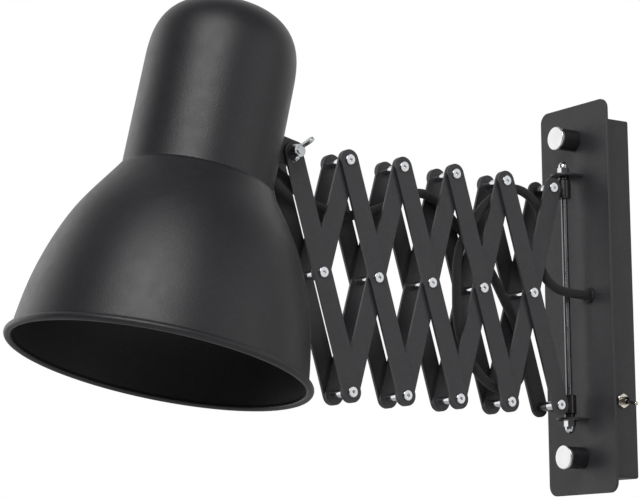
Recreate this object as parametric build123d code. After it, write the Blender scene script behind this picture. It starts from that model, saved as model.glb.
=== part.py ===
from build123d import *
import math
import os

# Accordion wall lamp, drawn as it hangs folded against its wall.
# Millimetres. The origin is the middle of the wall face: the wall is the plane Y = 0, the arm
# folds out towards -Y, +Z is up and the two lattices of bars mirror each other about X = 0.

# ---- wall box and front plate ----
PLATE_WIDTH = 76.0
PLATE_PAST_STUD = 27.5
PLATE_SHEET = 2.0
PLATE_CORNER = 8.0
PLATE_EDGE_BREAK = 0.4
PLATE_PAST_BOX = 11.65  # above and below
BOX_WIDTH = 46.0
BOX_DEPTH = 34.0
BOX_SHEET = 1.5
BOX_BEND = 2.2  # outside radius of the folded corners
BOX_FRONT_BEND = 1.3

# ---- wall strap with its two studs, and the knobs that close the box ----
STRAP_WIDTH = 26.0
STRAP_PAST_STUD = 8.5
STRAP_SHEET = 2.0
STRAP_SLOT_SPACING = 160.0
STRAP_SLOT_WIDTH = 5.0
STRAP_SLOT_LENGTH = 12.0
STRAP_CABLE_HOLE = 14.0
STUD_DIAMETER = 6.0
STUD_HOLE_CLEARANCE = 0.3
KNOB_TO_NUT = 8.8  # knob's edge to the tip of the rod's nut
KNOB_GRIP_DIAMETER = 16.6
KNOB_CAP_DIAMETER = 18.0
KNOB_HEIGHT = 18.6
KNOB_FOOT_ROUND = 0.8
KNOB_CAP_HEIGHT = 2.2
KNOB_CAP_ROUND = 0.7
KNOB_BORE_END = 2.0  # grip left solid past the end of the stud
THREAD_CLEARANCE = 0.06

# ---- toggle switch in the side of the box ----
SWITCH_Y = -14.5
SWITCH_Z = -80.1
SWITCH_BODY = (11.0, 12.8, 19.0)
SWITCH_BODY_ROUND = 0.8
SWITCH_TAG = (6.5, 0.8, 3.2)
SWITCH_TAG_SPACING = 9.4
SWITCH_BUSH_DIAMETER = 6.0
SWITCH_BUSH_REACH = 6.0  # beyond the outside of the box
SWITCH_NUT_FLATS = 10.0
SWITCH_NUT_HEIGHT = 2.2
SWITCH_NUT_CHAMFER = 0.5
LEVER_PIVOT_REACH = 3.6
LEVER_LENGTH = 13.5
LEVER_ROOT_RADIUS = 1.0
LEVER_NECK_RADIUS = 1.4
LEVER_TIP_RADIUS = 1.65
LEVER_TILT = 15.0
LEVER_BALL_RADIUS = 2.0
LEVER_PLAY = 0.3

# ---- terminal block inside the box ----
BLOCK_SIZE = (17.0, 11.0, 26.0)
BLOCK_Z = 46.0
BLOCK_WAYS = 3
BLOCK_SCREW_SPACING = 8.5
BLOCK_SCREW_WELL = 3.4
BLOCK_WIRE_HOLE = 3.0

# ---- cord gland and cord ----
GLAND_X = 13.0
GLAND_FLANGE = 12.4
GLAND_FLANGE_HEIGHT = 1.4
GLAND_FLANGE_ROUND = 0.6
GLAND_NOSE = 10.6
GLAND_NOSE_HEIGHT = 1.2
GLAND_SHANK = 9.4
GLAND_TAIL = 3.0
CORD_DIAMETER = 7.0
CORD_FIT = 0.15
CORD_END_GAP = 0.5

# ---- upright rod on its two tabs ----
ROD_DIAMETER = 5.0
ROD_REACH = 11.0  # rod axis in front of the plate
TAB_WIDTH = 20.0
TAB_SHEET = 1.5
ROD_FIT = 0.08
ACORN_FLATS = 8.0
ACORN_HEX_HEIGHT = 5.0
ACORN_HEIGHT = 10.0
ACORN_DOME = 7.5
ROD_THREAD_REACH = 7.0
BUSH_DIAMETER = 8.0
BUSH_LENGTH = 2.9
END_PLAY = 0.1

# ---- collars that carry the arm on the rod ----
COLLAR_DIAMETER = 10.5
COLLAR_LENGTH = 14.5
COLLAR_CHAMFER = 0.5
COLLAR_BELOW_PIN = 5.3
PIN_REACH = 20.0  # collar pin in front of the rod axis
BARREL_DIAMETER = 6.8
LUG_WIDTH = 6.0
SPACER_DIAMETER = 6.4
BARREL_INNER_END = -0.4

# ---- lattice bars ----
BAR_LENGTH = 172.4  # end pivot to end pivot
BAR_WIDTH = 15.0
BAR_SHEET = 2.0
BAYS = 5
PITCH = 48.09  # spacing of the pivots with the arm folded
TOP_LINE = 81.0  # height of the upper pivots
LATTICE_GAP = 17.2  # between the inner faces of the inner bars
BAR_PLAY = 0.3  # between an inner and an outer bar

# ---- rivets and sleeves ----
RIVET_SHANK = 4.0
RIVET_HEAD = 7.8
RIVET_HEAD_HEIGHT = 1.5
RIVET_HEAD_ROUND = 0.6
RIVET_HOLLOW = 2.6
RIVET_HOLLOW_DEPTH = 2.2
PIVOT_FIT = 0.1
SLEEVE_DIAMETER = 6.0
SLEEVE_PLAY = 0.15

# ---- head joint ----
HEAD_BOLT = 5.0
HEAD_BOLT_FIT = 0.1
HEAD_BOLT_FLATS = 8.0
HEAD_BOLT_HEAD = 3.5
HEAD_BOLT_PAST_NUT = 1.2
HEAD_WASHER = 10.4
HEAD_WASHER_SHEET = 1.0
EAR_HEIGHT = 18.6
EAR_REACH = 9.3  # ears past the head pivot
EAR_SHEET = 2.0
EAR_CORNER = 6.0
EAR_PLAY = 0.3  # between an ear and the bar outside it
BRACKET_BASE_HEIGHT = 14.0
WING_BASE = 11.0
WING_TOP = 9.0
WING_HUB_HEIGHT = 6.5
WING_SPAN = 25.0
WING_HEIGHT = 13.0
WING_SHEET = 2.4
WING_TIP_RADIUS = 3.2
WING_ROOT_RADIUS = 2.3
WING_EDGE_ROUND = 0.6
WING_TURN = 49.0

# ---- shade ----
HEAD_LEAN = 13.2  # lean of the shade's axis, top towards the wall
PIVOT_ABOVE_RIM = 175.0
PIVOT_FROM_AXIS = 64.0
SHADE_SHEET = 1.2
BOWL_RADIUS = 101.3
BOWL_SHAPE = ((0.05, 0.996), (0.366, 0.93), (0.683, 0.787))  # shares of the bowl's height and radius
BOWL_TOP = 131.4
BEAD_DIAMETER = 5.3
BEAD_PAST_BOWL = 3.9
NECK_RADIUS = 52.5
NECK_STEP = 1.7  # the bowl's waist outside the neck
NECK_TOP = 210.3
DOME_HEIGHT = 51.7
DOME_SHOULDER = 0.80  # share of the way out to the ellipse's bounding corner, along its diagonal
GROMMET_BELOW_PIVOT = 13.0
GROMMET_FLANGE = 11.0
GROMMET_LIP = 1.2
GROMMET_WALL = 1.0

# ---- lampholder inside the neck ----
HOLDER_CAP = 36.0
HOLDER_CAP_HEIGHT = 28.0
HOLDER_CAP_ROUND = 6.0
HOLDER_SKIRT = 39.0
HOLDER_SKIRT_HEIGHT = 30.0
HOLDER_SKIRT_CHAMFER = 1.0
HOLDER_BORE = 27.4
HOLDER_BORE_DEPTH = 27.0
HOLDER_TOP = 9.0  # above the head pivot, along the shade's axis
NIPPLE_DIAMETER = 10.0
NIPPLE_LENGTH = 8.0
NIPPLE_FIT = 0.2
BRIDGE_SHEET = 2.0
BRIDGE_WIDTH = 20.0
BRIDGE_END = 11.0
BRIDGE_FOOT = 16.0
SEAT_GAP = 0.05

# ---- places that follow from the sizes ----
PLATE_BACK = -BOX_DEPTH
PLATE_FRONT = PLATE_BACK - PLATE_SHEET
BOX_SIDE = BOX_WIDTH / 2
BUSH_TIP = BOX_SIDE + SWITCH_BUSH_REACH
LEVER_PIVOT = BOX_SIDE + LEVER_PIVOT_REACH
GLAND_BACK = PLATE_BACK + BOX_SHEET + GLAND_TAIL
ROD_Y = PLATE_FRONT - ROD_REACH
PIN_Y = ROD_Y - PIN_REACH
PIN_HOLE = RIVET_SHANK + 2 * PIVOT_FIT
BOLT_HOLE = HEAD_BOLT + 2 * HEAD_BOLT_FIT
RISE = math.sqrt(BAR_LENGTH**2 - PITCH**2)
BOTTOM_LINE = TOP_LINE - RISE
INNER_BAR = LATTICE_GAP / 2
OUTER_BAR = INNER_BAR + BAR_SHEET + BAR_PLAY
LATTICE_SIDE = OUTER_BAR + BAR_SHEET
WASHER_FACE = LATTICE_SIDE + SEAT_GAP
NUT_FACE = WASHER_FACE + HEAD_WASHER_SHEET
EAR_OUTSIDE = OUTER_BAR - EAR_PLAY
HEAD_PIVOT = (PIN_Y - BAYS * PITCH, TOP_LINE)
UPPER_TAB = TOP_LINE - COLLAR_BELOW_PIN + COLLAR_LENGTH + END_PLAY + BUSH_LENGTH
LOWER_TAB = BOTTOM_LINE - COLLAR_BELOW_PIN - END_PLAY - BUSH_LENGTH
ROD_TIP = max(UPPER_TAB, -LOWER_TAB) + TAB_SHEET + ACORN_HEIGHT
STUD_HEIGHT = ROD_TIP + KNOB_TO_NUT + KNOB_CAP_DIAMETER / 2
STUD_HEIGHTS = (STUD_HEIGHT, -STUD_HEIGHT)
STRAP_LENGTH = 2 * (STUD_HEIGHT + STRAP_PAST_STUD)
PLATE_HEIGHT = 2 * (STUD_HEIGHT + PLATE_PAST_STUD)
BOX_HEIGHT = PLATE_HEIGHT - 2 * PLATE_PAST_BOX
BOWL_WAIST = NECK_RADIUS + NECK_STEP
RIM_RADIUS = BOWL_RADIUS + BEAD_PAST_BOWL
LEAN = math.radians(HEAD_LEAN)
AXIS_UP = (0, math.sin(LEAN), math.cos(LEAN))
AXIS_OUT = (0, math.cos(LEAN), -math.sin(LEAN))
SIDES = {"near": 1, "far": -1}
STANDING = (Align.CENTER, Align.CENTER, Align.MIN)

os.makedirs("parts", exist_ok=True)


def save(node, *shapes):
    """Write a node: one solid, or a group of separate ones."""
    whole = shapes[0] if len(shapes) == 1 else Compound(children=list(shapes))
    export_step(whole, f"parts/{node}.step")


def upright(radius, height):
    """A cylinder standing on its base."""
    return Cylinder(radius, height, align=STANDING)


def rod_x(diameter, start, end, y, z):
    """A round bar along X between two X values."""
    return Plane(origin=(start, y, z), z_dir=(1, 0, 0)) * upright(diameter / 2, end - start)


def rod_y(diameter, back, front, x, z):
    """A round bar along -Y from the Y value nearer the wall to the one in front."""
    return Plane(origin=(x, back, z), z_dir=(0, -1, 0)) * upright(diameter / 2, back - front)


def rod_z(diameter, low, high, x, y):
    """An upright round bar between two heights."""
    return Pos(x, y, low) * upright(diameter / 2, high - low)


def hexagon(flats, height):
    """A hexagonal prism standing on its base."""
    return extrude(RegularPolygon(flats / 2, 6, major_radius=False), height)


def mirrored(shape, side):
    """The shape on the near side, or its mirror image on the far side."""
    return shape if side > 0 else shape.mirror(Plane.YZ)


# ---------------------------------------------------------------- wall box, strap and knobs


def wall_box():
    """Folded tray, open towards the wall, with holes for the studs, the gland and the switch."""
    shell = extrude(Plane.XZ * Rectangle(BOX_WIDTH, BOX_HEIGHT), BOX_DEPTH)
    shell = fillet(shell.edges().filter_by(Axis.Y), BOX_BEND)
    shell = fillet(shell.faces().sort_by(Axis.Y)[0].edges(), BOX_FRONT_BEND)
    opening = Rectangle(BOX_WIDTH - 2 * BOX_SHEET, BOX_HEIGHT - 2 * BOX_SHEET)
    inside = extrude(Plane.XZ * opening, BOX_DEPTH - BOX_SHEET)
    shell -= fillet(inside.edges().filter_by(Axis.Y), BOX_BEND - BOX_SHEET)
    for z in STUD_HEIGHTS:
        shell -= rod_y(STUD_DIAMETER + 2 * STUD_HOLE_CLEARANCE, 0, PLATE_FRONT, 0, z)
    shell -= rod_y(GLAND_SHANK, 0, PLATE_FRONT, GLAND_X, 0)
    return shell - rod_x(SWITCH_BUSH_DIAMETER, 0, BOX_WIDTH, SWITCH_Y, SWITCH_Z)


def front_plate():
    """Flat cover plate with rounded corners and a broken front edge."""
    outline = RectangleRounded(PLATE_WIDTH, PLATE_HEIGHT, PLATE_CORNER)
    plate = extrude(Plane.XZ.offset(-PLATE_BACK) * outline, PLATE_SHEET)
    plate = chamfer(plate.faces().sort_by(Axis.Y)[0].edges(), PLATE_EDGE_BREAK)
    for z in STUD_HEIGHTS:
        plate -= rod_y(STUD_DIAMETER + 2 * STUD_HOLE_CLEARANCE, 0, 2 * PLATE_FRONT, 0, z)
    return plate - rod_y(GLAND_SHANK, 0, 2 * PLATE_FRONT, GLAND_X, 0)


def wall_strap():
    """Flat strap screwed to the wall, with slots for the wall screws and two welded studs."""
    flat = Rectangle(STRAP_WIDTH, STRAP_LENGTH) - Circle(STRAP_CABLE_HOLE / 2)
    for z in (STRAP_SLOT_SPACING / 2, -STRAP_SLOT_SPACING / 2):
        flat -= Pos(0, z) * SlotOverall(STRAP_SLOT_LENGTH, STRAP_SLOT_WIDTH, rotation=90)
    strap = extrude(Plane.XZ * flat, STRAP_SHEET)
    stud_end = PLATE_FRONT - KNOB_HEIGHT + KNOB_CAP_HEIGHT + KNOB_BORE_END
    for z in STUD_HEIGHTS:
        strap += rod_y(STUD_DIAMETER, 0, stud_end, 0, z)
    return strap


def knob_grip(z):
    """Smooth black grip with a rounded foot, bored blind for the stud."""
    height = KNOB_HEIGHT - KNOB_CAP_HEIGHT
    grip = upright(KNOB_GRIP_DIAMETER / 2, height)
    grip = fillet(grip.faces().sort_by(Axis.Z)[0].edges(), KNOB_FOOT_ROUND)
    grip -= upright(STUD_DIAMETER / 2 + THREAD_CLEARANCE, height - KNOB_BORE_END + THREAD_CLEARANCE)
    return Plane(origin=(0, PLATE_FRONT, z), z_dir=(0, -1, 0)) * grip


def knob_cap(z):
    """Polished disc on the grip, a little wider than it."""
    cap = upright(KNOB_CAP_DIAMETER / 2, KNOB_CAP_HEIGHT)
    cap = fillet(cap.faces().sort_by(Axis.Z)[-1].edges(), KNOB_CAP_ROUND)
    return Plane(origin=(0, PLATE_FRONT - KNOB_HEIGHT + KNOB_CAP_HEIGHT, z), z_dir=(0, -1, 0)) * cap


# ---------------------------------------------------------------- switch, terminal block and gland


def switch_body():
    """Toggle switch: case inside the box, two solder tags and a threaded bush through the side."""
    inside = BOX_SIDE - BOX_SHEET
    case = Box(*SWITCH_BODY, align=(Align.MAX, Align.CENTER, Align.CENTER))
    case = Pos(inside, SWITCH_Y, SWITCH_Z) * fillet(case.edges().filter_by(Axis.X), SWITCH_BODY_ROUND)
    tag = Box(*SWITCH_TAG, align=(Align.MAX, Align.CENTER, Align.CENTER))
    for step in (-0.5, 0.5):
        case += Pos(inside - SWITCH_BODY[0], SWITCH_Y, SWITCH_Z + step * SWITCH_TAG_SPACING) * tag
    thread = SWITCH_BUSH_DIAMETER - 2 * THREAD_CLEARANCE
    case += rod_x(thread, inside - SWITCH_BODY_ROUND, BUSH_TIP, SWITCH_Y, SWITCH_Z)
    socket = LEVER_BALL_RADIUS + LEVER_PLAY
    case -= rod_x(2 * socket, LEVER_PIVOT, 2 * BUSH_TIP, SWITCH_Y, SWITCH_Z)
    return case - Pos(LEVER_PIVOT, SWITCH_Y, SWITCH_Z) * Sphere(socket)


def switch_nut():
    """Hexagon nut that clamps the switch to the box."""
    crown = upright(SWITCH_NUT_FLATS / 2 / math.cos(math.pi / 6), SWITCH_NUT_HEIGHT)
    crown = chamfer(crown.faces().sort_by(Axis.Z)[-1].edges(), SWITCH_NUT_CHAMFER)
    nut = hexagon(SWITCH_NUT_FLATS, SWITCH_NUT_HEIGHT) & crown
    nut -= upright(SWITCH_BUSH_DIAMETER / 2, SWITCH_NUT_HEIGHT)
    return Plane(origin=(BOX_SIDE, SWITCH_Y, SWITCH_Z), x_dir=(0, 0, 1), z_dir=(1, 0, 0)) * nut


def switch_lever():
    """Tapered lever with a ball at its tip and a ball in the bush, tipped down."""
    shaft = LEVER_LENGTH - LEVER_TIP_RADIUS
    lever = Cone(LEVER_ROOT_RADIUS, LEVER_NECK_RADIUS, shaft, align=STANDING)
    lever += Sphere(LEVER_BALL_RADIUS)
    lever += Pos(0, 0, shaft) * Sphere(LEVER_TIP_RADIUS)
    tilt = math.radians(LEVER_TILT)
    along = (math.cos(tilt), 0, -math.sin(tilt))
    return Plane(origin=(LEVER_PIVOT, SWITCH_Y, SWITCH_Z), z_dir=along) * lever


def terminal_block():
    """Screw terminal block on the inside of the box front."""
    front = PLATE_BACK + BOX_SHEET
    width, depth, height = BLOCK_SIZE
    block = Pos(0, front, BLOCK_Z) * Box(width, depth, height, align=(Align.CENTER, Align.MIN, Align.CENTER))
    for i in range(BLOCK_WAYS):
        z = BLOCK_Z + (i - (BLOCK_WAYS - 1) / 2) * height / BLOCK_WAYS
        block -= rod_x(BLOCK_WIRE_HOLE, -width, width, front + depth / 2, z)
        for side in (-0.5, 0.5):
            block -= rod_y(BLOCK_SCREW_WELL, 0, front + depth / 2, side * BLOCK_SCREW_SPACING, z)
    return block


def cord_gland():
    """Moulded bush in the plate: flange and nose in front, shank through, bored for the cord."""
    flange_front = PLATE_FRONT - GLAND_FLANGE_HEIGHT
    nose_front = flange_front - GLAND_NOSE_HEIGHT
    gland = rod_y(GLAND_FLANGE, PLATE_FRONT, flange_front, GLAND_X, 0)
    gland = fillet(gland.faces().sort_by(Axis.Y)[0].edges(), GLAND_FLANGE_ROUND)
    gland += rod_y(GLAND_NOSE, flange_front, nose_front, GLAND_X, 0)
    gland += rod_y(GLAND_SHANK, GLAND_BACK, PLATE_FRONT, GLAND_X, 0)
    return gland - rod_y(CORD_DIAMETER + 2 * CORD_FIT, 0, 2 * nose_front, GLAND_X, 0)


# ---------------------------------------------------------------- rod, tabs and collars


def pivot_tab(inner, outward):
    """Sheet tab welded to the plate, rounded about the rod. inner is the height of its bush side."""
    tab = Rectangle(TAB_WIDTH, ROD_REACH, align=(Align.CENTER, Align.MIN)) + Circle(TAB_WIDTH / 2)
    tab -= Circle(ROD_DIAMETER / 2 + ROD_FIT)
    return Pos(0, ROD_Y, min(inner, inner + outward * TAB_SHEET)) * extrude(tab, TAB_SHEET)


def rod_nut(seat, outward):
    """Acorn nut on the rod's end: hexagon, then a dome, with a blind bore."""
    dome = ACORN_DOME / 2
    nut = hexagon(ACORN_FLATS, ACORN_HEX_HEIGHT) + upright(dome, ACORN_HEIGHT - dome)
    nut += Pos(0, 0, ACORN_HEIGHT - dome) * Sphere(dome)
    nut -= upright(ROD_DIAMETER / 2 + THREAD_CLEARANCE, ROD_THREAD_REACH + THREAD_CLEARANCE)
    return Plane(origin=(0, ROD_Y, seat), x_dir=(1, 0, 0), z_dir=(0, 0, outward)) * nut


def rod_bush(low):
    """Spacer tube between a tab and its collar."""
    tube = upright(BUSH_DIAMETER / 2, BUSH_LENGTH) - upright(ROD_DIAMETER / 2 + ROD_FIT, BUSH_LENGTH)
    return Pos(0, ROD_Y, low) * tube


def collar(pin_height, bar_face):
    """Collar on the rod with a lug and a cross barrel for its pin. bar_face is where its bars begin."""
    low = pin_height - COLLAR_BELOW_PIN
    body = rod_z(COLLAR_DIAMETER, low, low + COLLAR_LENGTH, 0, ROD_Y)
    body = chamfer(body.edges().filter_by(GeomType.CIRCLE), COLLAR_CHAMFER)
    lug = Box(LUG_WIDTH, PIN_REACH, BARREL_DIAMETER, align=(Align.MAX, Align.MIN, Align.CENTER))
    body += Pos(BARREL_INNER_END, PIN_Y, pin_height) * lug
    body += rod_x(BARREL_DIAMETER, -bar_face + SLEEVE_PLAY, BARREL_INNER_END, PIN_Y, pin_height)
    body -= rod_x(PIN_HOLE, -bar_face, 0, PIN_Y, pin_height)
    return body - rod_z(ROD_DIAMETER + 2 * ROD_FIT, low, low + COLLAR_LENGTH, 0, ROD_Y)


def collar_spacer(pin_height, bar_face):
    """Bright tube that fills the pin's other half."""
    start = BARREL_INNER_END + SLEEVE_PLAY
    tube = rod_x(SPACER_DIAMETER, start, bar_face - SLEEVE_PLAY, PIN_Y, pin_height)
    return tube - rod_x(PIN_HOLE, start, bar_face, PIN_Y, pin_height)


# ---------------------------------------------------------------- lattice


def top_pin(k):
    """Upper pivot k: 0 at the head, BAYS at the rod."""
    return (PIN_Y - (BAYS - k) * PITCH, TOP_LINE)


def middle_pin(k):
    """Crossing of the two bars of bay k."""
    return (PIN_Y - (BAYS - k - 0.5) * PITCH, (TOP_LINE + BOTTOM_LINE) / 2)


def bottom_pin(k):
    """Lower pivot k, straight below upper pivot k."""
    return (PIN_Y - (BAYS - k) * PITCH, BOTTOM_LINE)


def bar(pins, inner, first_hole=PIN_HOLE):
    """Flat bar with round ends through a row of pivots, its inner face at X = inner."""
    (y0, z0), (y1, z1) = pins[0], pins[-1]
    length = math.hypot(y1 - y0, z1 - z0)
    flat = Pos(length / 2) * SlotCenterToCenter(length, BAR_WIDTH)
    for i, (y, z) in enumerate(pins):
        flat -= Pos(math.hypot(y - y0, z - z0)) * Circle((PIN_HOLE if i else first_hole) / 2)
    face = Plane(origin=(inner, y0, z0), x_dir=(0, y1 - y0, z1 - z0), z_dir=(1, 0, 0))
    return extrude(face * flat, BAR_SHEET)


def outer_bar_pins(k):
    """Pivots of the outer bar that runs down towards the wall from upper pivot k."""
    return [top_pin(k), middle_pin(k), bottom_pin(k + 1)]


def inner_bar_pins(k):
    """Pivots of the inner bar of bay k. The first bay has only the half above its crossing."""
    pins = [top_pin(k + 1), middle_pin(k)]
    return pins + [bottom_pin(k)] if k else pins


def rivet(y, z, bar_outside):
    """Through rivet with a hollow round head against each outermost bar."""
    end = bar_outside + RIVET_HEAD_HEIGHT
    half = rod_x(RIVET_SHANK, 0, bar_outside, y, z)
    head = rod_x(RIVET_HEAD, bar_outside, end, y, z)
    half += fillet(head.faces().sort_by(Axis.X)[-1].edges(), RIVET_HEAD_ROUND)
    half -= rod_x(RIVET_HOLLOW, end - RIVET_HOLLOW_DEPTH, end, y, z)
    return half + mirrored(half, -1)


def sleeve(y, z):
    """Bright tube that keeps the two lattices apart at a pivot."""
    end = INNER_BAR - SLEEVE_PLAY
    return rod_x(SLEEVE_DIAMETER, -end, end, y, z) - rod_x(PIN_HOLE, -end, end, y, z)


# ---------------------------------------------------------------- head


def at_head(out, up):
    """The point that far out from the shade's axis towards the wall, and up from the head pivot."""
    out -= PIVOT_FROM_AXIS
    y, z = HEAD_PIVOT
    return (0, y + out * AXIS_OUT[1] + up * AXIS_UP[1], z + out * AXIS_OUT[2] + up * AXIS_UP[2])


def head_plane(up):
    """Plane across the shade's axis, its own x towards the wall."""
    return Plane(origin=at_head(0, up), x_dir=AXIS_OUT, z_dir=AXIS_UP)


def shade():
    """Spun shade: rolled rim, bell, straight neck and domed top, one sheet thick, open below."""

    def half_section(inset):
        """Half section from the rim to the top, moved in by inset."""
        foot = (BOWL_RADIUS - inset, BEAD_DIAMETER / 2)
        crease = (BOWL_WAIST - inset, BOWL_TOP - inset)
        neck = NECK_RADIUS - inset
        rise = DOME_HEIGHT - inset
        top = (0, NECK_TOP + rise)
        shoulder = (neck * DOME_SHOULDER, NECK_TOP + rise * DOME_SHOULDER)
        bowl = [(BOWL_RADIUS * r - inset, BOWL_TOP * s) for s, r in BOWL_SHAPE]
        outline = Spline([foot] + bowl + [crease])
        outline += Polyline(crease, (neck, crease[1]), (neck, NECK_TOP))
        outline += Spline((neck, NECK_TOP), shoulder, top, tangents=((0, 1), (-1, 0)))
        outline += Polyline(top, (0, foot[1]), foot)
        return make_face(outline)

    bead = BEAD_DIAMETER / 2
    section = half_section(0) - half_section(SHADE_SHEET) + Pos(RIM_RADIUS - bead, bead) * Circle(bead)
    body = revolve(Plane.XZ * section, Axis.Z)
    hole = Plane(origin=(0, 0, PIVOT_ABOVE_RIM - GROMMET_BELOW_PIVOT), z_dir=(1, 0, 0))
    body -= hole * upright(CORD_DIAMETER / 2 + CORD_FIT + GROMMET_WALL, 2 * NECK_RADIUS)
    return head_plane(-PIVOT_ABOVE_RIM) * body


def head_bracket():
    """Bent sheet welded to the neck, with two ears that reach past the head pivot."""
    end = PIVOT_FROM_AXIS + EAR_REACH
    seat = Circle(NECK_RADIUS + SEAT_GAP)
    ring = Circle(NECK_RADIUS + SEAT_GAP + EAR_SHEET) - seat
    window = Rectangle(end, 2 * EAR_OUTSIDE, align=(Align.MIN, Align.CENTER))
    bracket = Pos(0, 0, -BRACKET_BASE_HEIGHT / 2) * extrude(ring & window, BRACKET_BASE_HEIGHT)
    for side in (1, -1):
        plan = Rectangle(end, EAR_SHEET, align=(Align.MIN, Align.CENTER))
        plan = Pos(0, side * (EAR_OUTSIDE - EAR_SHEET / 2)) * plan - seat
        ear = Pos(0, 0, -EAR_HEIGHT / 2) * extrude(plan, EAR_HEIGHT)
        bracket += fillet(ear.faces().sort_by(Axis.X)[-1].edges().filter_by(Axis.Y), EAR_CORNER)
    return head_plane(0) * bracket - rod_x(BOLT_HOLE, -LATTICE_SIDE, LATTICE_SIDE, *HEAD_PIVOT)


def head_bolt():
    """Bolt across the head joint, its hexagon head on the far side."""
    tip = NUT_FACE + WING_HUB_HEIGHT + HEAD_BOLT_PAST_NUT
    far = Plane(origin=(-NUT_FACE, *HEAD_PIVOT), x_dir=(0, 0, 1), z_dir=(-1, 0, 0))
    return rod_x(HEAD_BOLT, -NUT_FACE, tip, *HEAD_PIVOT) + far * hexagon(HEAD_BOLT_FLATS, HEAD_BOLT_HEAD)


def head_washer(side):
    """Washer between the lattice and the bolt's head or nut."""
    ring = rod_x(HEAD_WASHER, WASHER_FACE, NUT_FACE, *HEAD_PIVOT)
    return mirrored(ring - rod_x(BOLT_HOLE, WASHER_FACE, NUT_FACE, *HEAD_PIVOT), side)


def wing_nut():
    """Wing nut: tapered hub with two raised ears, each the hull of a root and a tip circle."""
    root = Pos(WING_TOP / 2, WING_HUB_HEIGHT / 2) * Circle(WING_ROOT_RADIUS)
    tip = Pos(WING_SPAN / 2 - WING_TIP_RADIUS, WING_HEIGHT - WING_TIP_RADIUS) * Circle(WING_TIP_RADIUS)
    ear = extrude(Plane.XZ * make_hull(root.edges() + tip.edges()), WING_SHEET / 2, both=True)
    ear = fillet(ear.faces().filter_by(Axis.Y).edges(), WING_EDGE_ROUND)
    nut = Cone(WING_BASE / 2, WING_TOP / 2, WING_HUB_HEIGHT, align=STANDING) + ear + Rot(0, 0, 180) * ear
    nut -= upright(HEAD_BOLT / 2 + THREAD_CLEARANCE, WING_HEIGHT)
    turn = math.radians(WING_TURN)
    across = (0, math.cos(turn), math.sin(turn))
    return Plane(origin=(NUT_FACE, *HEAD_PIVOT), x_dir=across, z_dir=(1, 0, 0)) * nut


def neck_grommet():
    """Moulded grommet in the neck wall: a lip each side and a bore for the cord."""
    lip = GROMMET_FLANGE / 2
    bore = CORD_DIAMETER / 2 + CORD_FIT
    outside = NECK_RADIUS + SEAT_GAP
    inside = math.sqrt((NECK_RADIUS - SHADE_SHEET) ** 2 - lip**2) - SEAT_GAP
    grommet = upright(bore + GROMMET_WALL - SEAT_GAP, outside + GROMMET_LIP)
    grommet += upright(lip, outside + GROMMET_LIP) - upright(lip, outside)
    grommet += upright(lip, inside)
    grommet -= upright(lip, inside - GROMMET_LIP) + upright(bore, 2 * NECK_RADIUS)
    return Plane(origin=at_head(0, -GROMMET_BELOW_PIVOT), z_dir=AXIS_OUT) * grommet


def lampholder():
    """Lampholder: domed cap, wider skirt with a bore for the lamp, and a nipple on top."""
    cap = Pos(0, 0, -HOLDER_CAP_HEIGHT) * upright(HOLDER_CAP / 2, HOLDER_CAP_HEIGHT)
    holder = fillet(cap.faces().sort_by(Axis.Z)[-1].edges(), HOLDER_CAP_ROUND)
    foot = Pos(0, 0, -HOLDER_CAP_HEIGHT - HOLDER_SKIRT_HEIGHT)
    skirt = upright(HOLDER_SKIRT / 2, HOLDER_SKIRT_HEIGHT)
    holder += foot * chamfer(skirt.edges().filter_by(GeomType.CIRCLE), HOLDER_SKIRT_CHAMFER)
    holder += upright(NIPPLE_DIAMETER / 2, NIPPLE_LENGTH)
    return head_plane(HOLDER_TOP) * (holder - foot * upright(HOLDER_BORE / 2, HOLDER_BORE_DEPTH))


def holder_bridge():
    """Strip across the neck that carries the lampholder, with a foot welded to the neck wall."""
    wall = NECK_RADIUS - SHADE_SHEET - SEAT_GAP
    plan = Rectangle(BRIDGE_END + wall, BRIDGE_WIDTH, align=(Align.MIN, Align.CENTER))
    bridge = extrude(Pos(-BRIDGE_END) * plan & Circle(wall), BRIDGE_SHEET)
    foot = Rectangle(wall, BRIDGE_WIDTH, align=(Align.MIN, Align.CENTER)) & Circle(wall)
    bridge += extrude(foot - Circle(wall - BRIDGE_SHEET), BRIDGE_FOOT)
    bridge -= upright(NIPPLE_DIAMETER / 2 + NIPPLE_FIT, BRIDGE_FOOT)
    return head_plane(HOLDER_TOP) * bridge


# ---------------------------------------------------------------- cord

STRAND = 3.9  # each strand's distance from the middle of the lattice, so that two pass each other


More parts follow.
